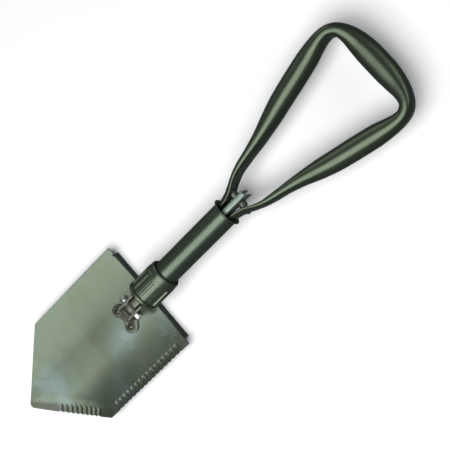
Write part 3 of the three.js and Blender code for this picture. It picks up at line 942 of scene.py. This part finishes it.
    def build(self) -> None:
        """Makes and hangs the blade, its bracket, the hinge pin and the rivets."""
        bench = self.bench
        bench.finish(self.make_plate(), Body.BLADE, Slot.BLADE, "blade", smooth=50)
        yoke = traced_copy("yoke_bracket", "hinge_yoke", bench.hinge)
        soften(yoke, 0.45)
        bench.finish(yoke, Body.BLADE, Slot.BRACKET, "hinge_yoke")
        bench.finish(self.make_pin(), Body.BLADE, Slot.BARE_STEEL, "hinge_pin")
        for side, name in ((-1, "left"), (1, "right")):
            bench.finish(self.make_rivet(side), Body.BLADE, Slot.RIVET, f"blade_rivet_{name}")
            bench.dress(Slot.DARK_STEEL, f"hinge_washer_{name}")


# ---------------------------------------------------------------- locking nut
@dataclass
class LockingNut:
    """The slotted nut, the smooth thrust ring under it and the seal in its mouth."""

    bench: Bench
    bottom: float = 19.5
    ring_height: float = 4.6
    top: float = 61.0
    bore_radius: float = 17.1
    radius: float = 19.6
    collar_radius: float = 19.0
    ring_radius: float = 20.0
    slots: int = 12
    slot_half: float = 1.1
    slot_wall: float = 0.85
    slot_depth: float = 1.9
    slot_top: float = 51.0
    first_slot: float = 0.13
    foot_chamfer: float = 0.9
    seal_inner: float = 15.3
    seal_outer: float = 16.8

    @property
    def foot(self) -> float:
        """Where the nut starts, above the thrust ring."""
        return self.bottom + self.ring_height + GAP

    def radius_at(self, y: float) -> float:
        """The nut's outer radius: a chamfered foot, the panels and a narrower collar.

        Args:
            y: the place along the nut.

        Returns:
            The radius there.
        """
        if y < self.foot + 1:
            return self.radius - self.foot_chamfer * (1 - (y - self.foot))
        shoulder = rise(y, self.slot_top + 1.2, self.slot_top + 2.8)
        return self.radius + (self.collar_radius - self.radius) * shoulder

    def make_nut(self) -> bpy.types.Object:
        """Rolls a sheet into the nut's wall, with its slots sunk between raised panels.

        Returns:
            The nut as one closed piece.
        """
        foot, wall, top = self.foot, self.slot_wall, self.slot_top
        pitch = 2 * math.pi * self.radius / self.slots
        half = [0.0, 0.35, 0.65, 0.87, 1.02, self.slot_half, self.slot_half + wall, 2.5, 3.3, 4.2]
        asides = [-a for a in reversed(half[1:])] + half + [pitch / 2]
        levels = [("slot", foot + s) for s in (0, 0.45, 1.0, 2.2, 6, 10, 14, 18, 21)]
        levels += [("arc", -1.6), ("arc", -wall), ("rim", 0.0)]
        levels += [("plain", top + s) for s in (0.5, 1.2, 2.0, 2.8, 5)] + [("plain", self.top - 2.4)]
        mouth = [(self.collar_radius - 0.15, self.top - 1.5), (self.collar_radius - 0.8, self.top - 0.5),
                 (self.bore_radius + 0.7, self.top), (self.bore_radius, self.top - 0.3),
                 (self.bore_radius, self.top - 5), (self.bore_radius, foot), (self.radius_at(foot), foot)]

        def place(column: int, row: int) -> Vector:
            """Puts one vertex of the wall in place: up the outside, then down the bore.

            Args:
                column: its column, slot after slot.
                row: its row.

            Returns:
                Its place.
            """
            slot, index = divmod(column, len(asides))
            aside = asides[index]
            angle = (slot + self.first_slot) * 2 * math.pi / self.slots + aside / self.radius
            if row < len(levels):
                kind, y = levels[row]
                if kind in ("arc", "rim"):
                    y = top - self.slot_half + math.sqrt(max(self.slot_half ** 2 - aside ** 2, 0)) + y
                sunk = kind in ("slot", "arc") and abs(aside) <= self.slot_half
                radius = self.radius_at(y) - (self.slot_depth if sunk else 0)
            else:
                radius, y = mouth[row - len(levels)]
            return Vector((math.sin(angle) * radius, y, math.cos(angle) * radius))

        nut = shaped_sheet("nut_shell", self.slots * len(asides), len(levels) + len(mouth) - 1, place)
        close_up(nut)
        soften(nut, 0.22, 48)
        return nut

    def make_ring(self) -> bpy.types.Object:
        """Turns the thrust ring with rounded rims.

        Returns:
            The ring.
        """
        y0, y1 = self.bottom, self.bottom + self.ring_height
        inner, r = self.bore_radius, self.ring_radius
        profile = [(inner, y0 + 0.3), (inner + 0.3, y0), (r - 1.5, y0), (r - 0.8, y0 + 0.2),
                   (r - 0.25, y0 + 0.75), (r, y0 + 1.5), (r, y1 - 1.3), (r - 0.3, y1 - 0.55),
                   (r - 1.1, y1 - 0.1), (r - 2, y1), (inner + 0.3, y1), (inner, y1 - 0.3), (inner, y0 + 0.3)]
        return turned("thrust_ring_turned", profile, 128)

    def make_seal(self) -> bpy.types.Object:
        """Turns the seal with a rounded lip that stands at the nut's mouth.

        Returns:
            The seal.
        """
        inner, outer = self.seal_inner, self.seal_outer
        low, high = self.top - 4, self.top - 0.4
        profile = [(inner, low), (outer, low), (outer, high - 0.5), (outer - 0.25, high - 0.1),
                   (outer - 0.7, high), (inner + 0.4, high - 0.05), (inner, high - 0.4), (inner, low)]
        return turned("seal_lip", profile, 112)

    def build(self) -> None:
        """Makes and hangs the nut, its ring and its seal."""
        self.bench.finish(self.make_nut(), Body.NUT, Slot.NUT, "locking_nut", smooth=40)
        self.bench.finish(self.make_ring(), Body.NUT_CARRIAGE, Slot.NUT, "thrust_ring")
        self.bench.finish(self.make_seal(), Body.NUT_CARRIAGE, Slot.RUBBER, "nut_seal")


# ---------------------------------------------------------------- tube
@dataclass
class SlidingTube:
    """The handle's tube, the ferrule at its mouth and the bush that runs on the tie rod."""

    bench: Bench
    low: float = 47.0
    lip: float = 163.0
    radius: float = 15.0
    wall: float = 1.6
    lip_radius: float = 17.8
    lip_height: float = 2.4
    mouth: float = 15.8
    ferrule_seat: float = 13.9

    def make_tube(self) -> bpy.types.Object:
        """Turns the tube, up to the ferrule's foot.

        Returns:
            The tube.
        """
        low, end = self.low, self.lip - self.lip_height - GAP
        inner, outer = self.radius - self.wall, self.radius
        profile = [(inner, low + 0.3), (inner + 0.3, low), (outer - 0.4, low), (outer, low + 0.4),
                   (outer, end), (inner, end), (inner, low + 0.3)]
        return turned("tube_body", profile, 128)

    def make_ferrule(self) -> bpy.types.Object:
        """Turns the ferrule with its rolled lip and flared mouth.

        Returns:
            The ferrule.
        """
        base, top, r, seat = self.lip - self.lip_height, self.lip, self.lip_radius, self.ferrule_seat
        profile = [(seat, base), (self.radius, base), (r - 2.2, base + 0.3), (r - 0.9, base + 0.7),
                   (r - 0.2, base + 1.1), (r, base + 1.5), (r - 0.05, top - 0.55), (r - 0.4, top - 0.2),
                   (r - 1, top), (self.mouth + 0.5, top), (self.mouth - 0.05, top - 0.35),
                   (seat + 1, top - 1.1), (seat, base)]
        return turned("ferrule_lip", profile, 128)

    def build(self) -> None:
        """Makes and hangs the tube and the ferrule, and dresses the bush."""
        self.bench.finish(self.make_tube(), Body.TUBE, Slot.TUBE, "handle_tube")
        self.bench.finish(self.make_ferrule(), Body.TUBE, Slot.TUBE, "tube_ferrule")
        self.bench.dress(Slot.PLASTIC, "tube_bush")


# ---------------------------------------------------------------- shaft core
@dataclass
class ShaftCore:
    """What stays still in the middle: tongue, threaded socket, tie rod, link and handle pivot."""

    bench: Bench
    link_half: float = 3.6
    link_depth: float = 10.5
    link_wall: float = 1.6
    link_corner: float = 2.0
    link_low: float = 128.0
    link_high: float = 193.0
    rivet_y: float = 141.0
    rivet_radius: float = 2.5
    pivot_y: float = 181.5
    pivot_radius: float = 3.2
    spacer_radius: float = 4.8
    leg_gap: float = 10.0
    pin_end: float = 18.4

    def make_link(self) -> bpy.types.Object:
        """Folds a strip into the link's channel, with rounded corners, and drills it.

        Returns:
            The channel as one closed piece.
        """
        deselect()
        length = self.link_high - self.link_low
        bpy.ops.mesh.primitive_cube_add(size=1, scale=(self.link_half * 2, length, self.link_depth * 2),
                                        location=(0, self.link_low + length / 2, 0))
        link = bpy.context.object
        link.name = "link_strap"
        bpy.ops.object.transform_apply(location=True, rotation=True, scale=True)
        with editing(link):
            pick(link, "FACE", lambda at, n: n.z < -0.5 or abs(n.y) > 0.5)
            bpy.ops.mesh.delete(type="FACE")
            pick(link, "EDGE", lambda a, b: min(a.z, b.z) > 1 and abs(a.y - b.y) > 1)
            bpy.ops.mesh.bevel(offset=self.link_corner, segments=6, affect="EDGES")
            bpy.ops.mesh.select_mode(type="VERT")
            bpy.ops.mesh.select_all(action="SELECT")
            bpy.ops.mesh.normals_make_consistent(inside=False)
        modify(link, "SOLIDIFY", thickness=self.link_wall, offset=-1, use_even_offset=True)
        bore(link, self.pivot_radius + GAP, ALONG * self.pivot_y, ACROSS, 20)
        bore(link, self.rivet_radius, ALONG * self.rivet_y, ACROSS, 20)
        soften(link, 0.25, 50)
        return link

    def make_pivot_pin(self) -> bpy.types.Object:
        """Turns the handle's pivot pin with its two riveted ends.

        Returns:
            The pin.
        """
        r, end = self.pivot_radius, self.pin_end
        half = [(0.0, end + 0.8), (1.4, end + 0.7), (2.4, end + 0.35), (r - 0.2, end - 0.2), (r, end - 0.7)]
        profile = half + [(radius, -along) for radius, along in reversed(half)]
        return turned("pivot_pin", profile, 56, ACROSS, UP, ALONG * self.pivot_y)

    def make_spacer(self, side: int, name: str) -> bpy.types.Object:
        """Turns a spacer that fills the gap between the link and a leg of the handle.

        Args:
            side: 1 on the fluted side and -1 on the other.
            name: the side's name.

        Returns:
            The spacer.
        """
        low, high = self.link_half + GAP, self.leg_gap - GAP
        inner, outer = self.pivot_radius + GAP, self.spacer_radius
        ring = [(inner, low), (outer - 0.4, low), (outer, low + 0.4), (outer, high - 0.4),
                (outer - 0.4, high), (inner, high), (inner, low)]
        profile = [(radius, side * along) for radius, along in ring]
        return turned(f"spacer_{name}", profile, 56, ACROSS, UP, ALONG * self.pivot_y)

    def build(self) -> None:
        """Makes and hangs the link and the pivot's pieces, and dresses the pieces kept from the frame."""
        bench = self.bench
        bench.finish(self.make_link(), Body.SHAFT, Slot.LINK, "link_channel")
        bench.finish(self.make_pivot_pin(), Body.SHAFT, Slot.DARK_STEEL, "handle_pivot_pin")
        for side, name in ((-1, "left"), (1, "right")):
            bench.finish(self.make_spacer(side, name), Body.SHAFT, Slot.DARK_STEEL, f"pivot_spacer_{name}")
        tongue = traced_copy("tongue_block", "hinge_tongue", bench.hinge)
        soften(tongue, 0.6)
        bench.finish(tongue, Body.SHAFT, Slot.BRACKET, "hinge_tongue")
        bench.dress(Slot.DARK_STEEL, "threaded_socket", "tie_rod", "link_rivet")


# ---------------------------------------------------------------- D handle
@dataclass(frozen=True)
class Station:
    """One section of the handle's tube: its middle, its half sizes, and how far it hugs the link."""

    x: float
    y: float
    thick: float
    deep: float
    hollow: float


def smooth_at(points: list[Vector], share: float) -> Vector:
    """A point of the centripetal curve through some points.

    Args:
        points: the points that the curve passes through.
        share: 0 at the first point and 1 at the last.

    Returns:
        The curve's point.
    """
    place = (len(points) - 1) * share
    k = min(int(place), len(points) - 2)
    t = place - k
    p1, p2 = points[k], points[k + 1]
    p0 = points[k - 1] if k > 0 else points[0] * 2 - points[1]
    p3 = points[k + 2] if k + 2 < len(points) else points[-1] * 2 - points[-2]
    d0, d1, d2 = (max((a - b).length ** 0.5, 1e-4) for a, b in ((p0, p1), (p1, p2), (p2, p3)))
    slope1 = ((p1 - p0) / d0 - (p2 - p0) / (d0 + d1) + (p2 - p1) / d1) * d1
    slope2 = ((p2 - p1) / d1 - (p3 - p1) / (d1 + d2) + (p3 - p2) / d2) * d1
    return (p1 + slope1 * t + (3 * (p2 - p1) - 2 * slope1 - slope2) * t ** 2
            + (2 * (p1 - p2) + slope1 + slope2) * t ** 3)


@dataclass
class GripFrame:
    """The bent tube of the D handle: flattened where it hugs the link and at its two outer corners."""

    bench: Bench
    wall: float = 1.1
    sides: int = 36
    steps: int = 190
    pin_hole: float = 3.5
    squareness: float = 0.9
    pivot_y: float = 181.5

    STATIONS: ClassVar[tuple[Station, ...]] = (
        Station(11.6, 162, 1.5, 9.5, 4.2), Station(12.7, 172, 2.4, 11, 4),
        Station(15.2, 181, 2.9, 12, 3.6), Station(19.5, 191, 3.1, 13, 2.4),
        Station(23.1, 202, 3.8, 14, 1.2), Station(25.5, 214, 4.8, 14.5, 0.5),
        Station(27.8, 228, 5.6, 14.5, 0), Station(31.8, 247, 7.6, 14, 0), Station(38, 270, 10.6, 13, 0),
        Station(43.4, 290, 12, 12.5, 0), Station(48.8, 314, 12.4, 12.4, 0),
        Station(54.3, 339, 12.1, 12.4, 0), Station(58.4, 358, 9.8, 13.5, 0),
        Station(59.6, 368, 8.2, 14.5, 0), Station(58.6, 376.9, 7.3, 15, 0),
        Station(52.9, 385.1, 7.6, 14.9, 0), Station(42, 389.6, 9.9, 14, 0),
        Station(28, 391.3, 12.5, 13, 0), Station(13, 391.9, 13.9, 12.7, 0), Station(0, 392, 14, 12.6, 0),
    )

    def skin_point(self, path: list[Vector], sizes: list[Vector], share: float, side: int,
                   inset: float) -> Vector:
        """One point of the tube's skin.

        Args:
            path: the middles of the sections, all along the tube.
            sizes: their half sizes and hollows.
            share: the place along the tube, from 0 to 1.
            side: the place round it.
            inset: how far inside the outer skin.

        Returns:
            The point, in millimetres from the hinge.
        """
        centre, size = smooth_at(path, share), smooth_at(sizes, share)
        ahead = smooth_at(path, min(share + 1e-4, 1.0)) - smooth_at(path, max(share - 1e-4, 0.0))
        ahead.normalize()
        power = 2 / (2 + self.squareness * rise(size.y / size.x, 1, 2.2))
        angle = 2 * math.pi * side / self.sides
        c, s = math.cos(angle), math.sin(angle)
        u = math.copysign(abs(c) ** power, c) * (size.x - inset)
        w = math.copysign(abs(s) ** power, s) * (size.y - inset)
        u -= size.z * (w / size.y) ** 2
        return Vector((centre.x + ahead.y * u, centre.y - ahead.x * u, w))

    def make_tube(self) -> bpy.types.Object:
        """Rolls a sheet into the handle's tube, out along its skin and back along its bore.

        Returns:
            The tube as one closed piece, drilled for its pin.
        """
        left = [Station(-s.x, s.y, s.thick, s.deep, s.hollow) for s in reversed(self.STATIONS[:-1])]
        path = [Vector((s.x, s.y, 0)) for s in (*self.STATIONS, *left)]
        sizes = [Vector((s.thick, s.deep, s.hollow)) for s in (*self.STATIONS, *left)]
        skin = [[self.skin_point(path, sizes, step / self.steps, side, inset) for side in range(self.sides)]
                for inset in (0.0, self.wall) for step in range(self.steps + 1)]
        count = self.steps + 1
        order = [*range(count), *range(2 * count - 1, count - 1, -1), 0]
        tube = shaped_sheet("grip_tube", self.sides, len(order) - 1,
                            lambda column, row: skin[order[row]][column % self.sides])
        close_up(tube)
        bore(tube, self.pin_hole, ALONG * self.pivot_y, ACROSS, 60)
        soften(tube, 0.3, 60)
        return tube

    def build(self) -> None:
        """Makes and hangs the handle."""
        self.bench.finish(self.make_tube(), Body.GRIP, Slot.GRIP, "grip_frame", smooth=50)


# ---------------------------------------------------------------- stage
@dataclass
class Studio:
    """A pale floor, one large soft light above, two weak fill lights and the camera."""

    look_at: Vector
    towards_camera: Vector
    distance: float = 1.2375
    lens: float = 90.6
    heading: float = 0.7841
    air_tone: Colour = (0.9, 0.95, 1)
    air_strength: float = 0.12

    def lay_floor(self) -> None:
        """Lays a pale floor under the tool."""
        deselect()
        bpy.ops.mesh.primitive_plane_add(size=12, location=(0, 0, -0.0004))
        floor = bpy.context.object
        floor.name = "studio_floor"
        sheet = FinishSheet("floor_card")
        cloud = sheet.noise(3, 2)
        sheet.set(base_color=sheet.mix(cloud * 0.3, (0.9, 0.9, 0.9), (0.87, 0.875, 0.88)), roughness=0.9,
                  specular_ior_level=0.1)
        floor.data.materials.append(sheet.material)
        floor.visible_glossy = False
        floor.visible_diffuse = False

    def hang_light(self, name: str, at: Vector, aim: Vector, size: tuple[float, float],
                   power: float) -> None:
        """Hangs one rectangular light.

        Args:
            name: its name.
            at: where it hangs.
            aim: the point that it faces.
            size: its width and length in metres.
            power: its power in watts.
        """
        lamp = bpy.data.lights.new(name, "AREA")
        lamp.shape = "RECTANGLE"
        lamp.size, lamp.size_y = size
        lamp.energy = power
        holder = bpy.data.objects.new(name, lamp)
        turn = (at - aim).to_track_quat("Z", "Y").to_matrix().to_4x4()
        holder.matrix_world = Matrix.Translation(at) @ turn
        bpy.context.scene.collection.objects.link(holder)

    def set_camera(self) -> None:
        """Stands the camera over the tool, turned so that the handle points up and to the right."""
        back = self.towards_camera.normalized()
        along = (ALONG - back * ALONG.dot(back)).normalized()
        across = along.cross(back)
        right = across * math.sin(self.heading) + along * math.cos(self.heading)
        up = along * math.sin(self.heading) - across * math.cos(self.heading)
        camera = bpy.data.cameras.new("studio_camera")
        camera.lens = self.lens
        camera.sensor_width = 36
        holder = bpy.data.objects.new("studio_camera", camera)
        turn = Matrix((right, up, back)).transposed().to_4x4()
        holder.matrix_world = Matrix.Translation(self.look_at + back * self.distance) @ turn
        bpy.context.scene.collection.objects.link(holder)
        bpy.context.scene.camera = holder

    def build(self) -> None:
        """Sets up the floor, the lights, the sky and the camera."""
        scene = bpy.context.scene
        scene.view_settings.view_transform = "Standard"
        world = bpy.data.worlds.new("studio_air")
        world.use_nodes = True
        air = world.node_tree.nodes["Background"]
        air.inputs["Color"].default_value = (*self.air_tone, 1)
        air.inputs["Strength"].default_value = self.air_strength
        scene.world = world
        self.lay_floor()
        above = Vector((0.42, -0.5, 1.63))
        self.hang_light("overhead_softbox", above, above * Vector((1, 1, 0)), (1.6, 2.0), 44)
        self.hang_light("rear_fill", Vector((0.3, 1.3, 0.5)), Vector((0, -0.1, 0.02)), (1.0, 0.6), 4)
        self.hang_light("side_fill", Vector((-1.3, 0.2, 0.45)), Vector((0, 0, 0.03)), (0.8, 1.0), 3)
        self.set_camera()


# ---------------------------------------------------------------- all together
def main() -> None:
    """Builds the studio and the shovel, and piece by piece."""
    logging.basicConfig(level=logging.INFO, format="%(name)s: %(message)s")
    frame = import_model()
    low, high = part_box("hinge_pin")
    hinge = (low + high) / 2
    coats = {slot: finish.make(slot.value) for slot, finish in FINISHES.items()}
    bench = Bench(hinge, frame["nodes"], coats)
    Studio(look_at=Vector((0.0087, 0.0446, 0.0316)), towards_camera=Vector((0.1844, 0.3269, 0.9269))).build()
    for assembly in (Blade, LockingNut, SlidingTube, ShaftCore, GripFrame):
        assembly(bench).build()
    deselect()


if __name__ == "__main__":
    main()
